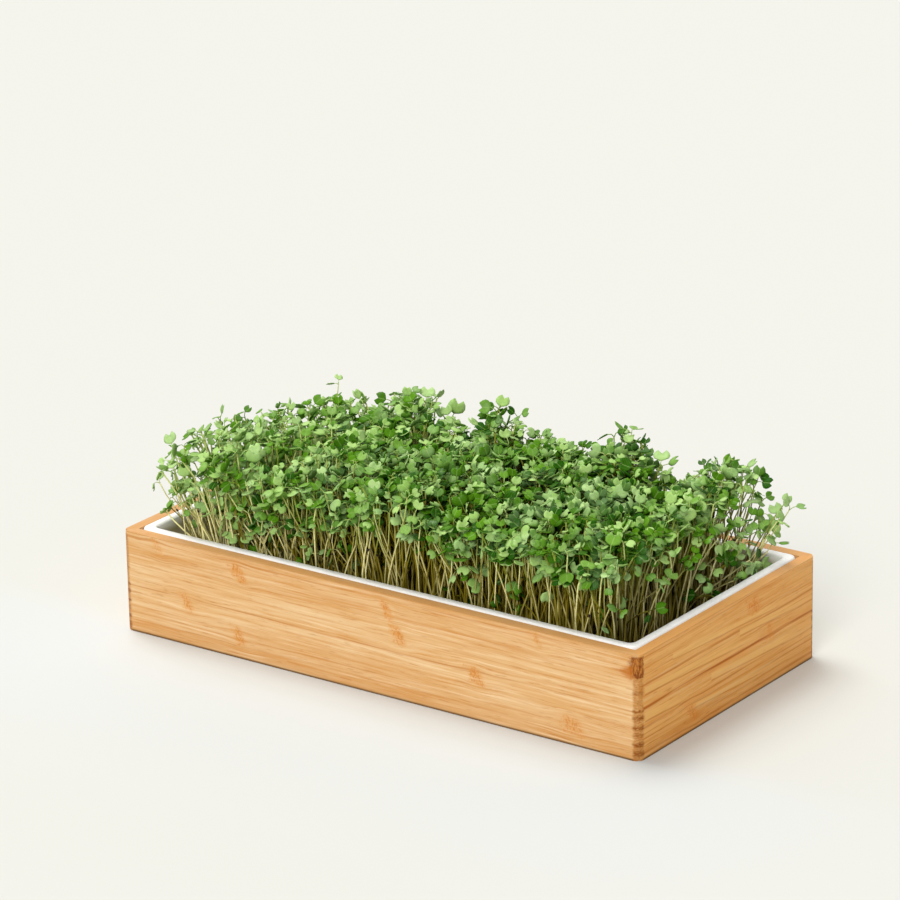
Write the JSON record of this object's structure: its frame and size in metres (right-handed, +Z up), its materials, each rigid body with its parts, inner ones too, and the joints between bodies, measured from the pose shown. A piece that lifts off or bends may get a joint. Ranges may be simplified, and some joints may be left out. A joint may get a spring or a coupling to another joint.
{
  "type": "self-watering microgreens kit",
  "caption": "Tabletop kit of brassica microgreens: dense seedlings on a coir mat in a white reservoir tray, held by its rim in a bamboo frame.",
  "frame": {"origin": "middle of the bamboo frame's underside, on the table", "axes": "+X along the long side, +Y from the front board to the back board, +Z up"},
  "size_m": [0.368, 0.188, 0.1258],
  "materials": {
    "bamboo": "satin",
    "white_tray": "gloss",
    "coir": "matte",
    "wick_felt": "matte",
    "seedling_green": "satin"
  },
  "bodies": {
    "root": {"frame_front": "bamboo", "frame_back": "bamboo", "frame_left": "bamboo", "frame_right": "bamboo", "tray": "white_tray", "coir_mat": "coir", "wick_left": "wick_felt", "wick_right": "wick_felt", "seedling_tuft_01": "seedling_green", "seedling_tuft_02": "seedling_green", "seedling_tuft_03": "seedling_green", "seedling_tuft_04": "seedling_green", "seedling_tuft_05": "seedling_green", "seedling_tuft_06": "seedling_green", "seedling_tuft_07": "seedling_green", "seedling_tuft_08": "seedling_green", "seedling_tuft_09": "seedling_green", "seedling_tuft_10": "seedling_green", "seedling_tuft_11": "seedling_green", "seedling_tuft_12": "seedling_green", "seedling_tuft_13": "seedling_green", "seedling_tuft_14": "seedling_green", "seedling_tuft_15": "seedling_green", "seedling_tuft_16": "seedling_green", "seedling_tuft_17": "seedling_green", "seedling_tuft_18": "seedling_green", "seedling_tuft_19": "seedling_green", "seedling_tuft_20": "seedling_green", "seedling_tuft_21": "seedling_green", "seedling_tuft_22": "seedling_green", "seedling_tuft_23": "seedling_green", "seedling_tuft_24": "seedling_green", "seedling_tuft_25": "seedling_green", "seedling_tuft_26": "seedling_green", "seedling_tuft_27": "seedling_green", "seedling_tuft_28": "seedling_green"}
  },
  "joints": []
}
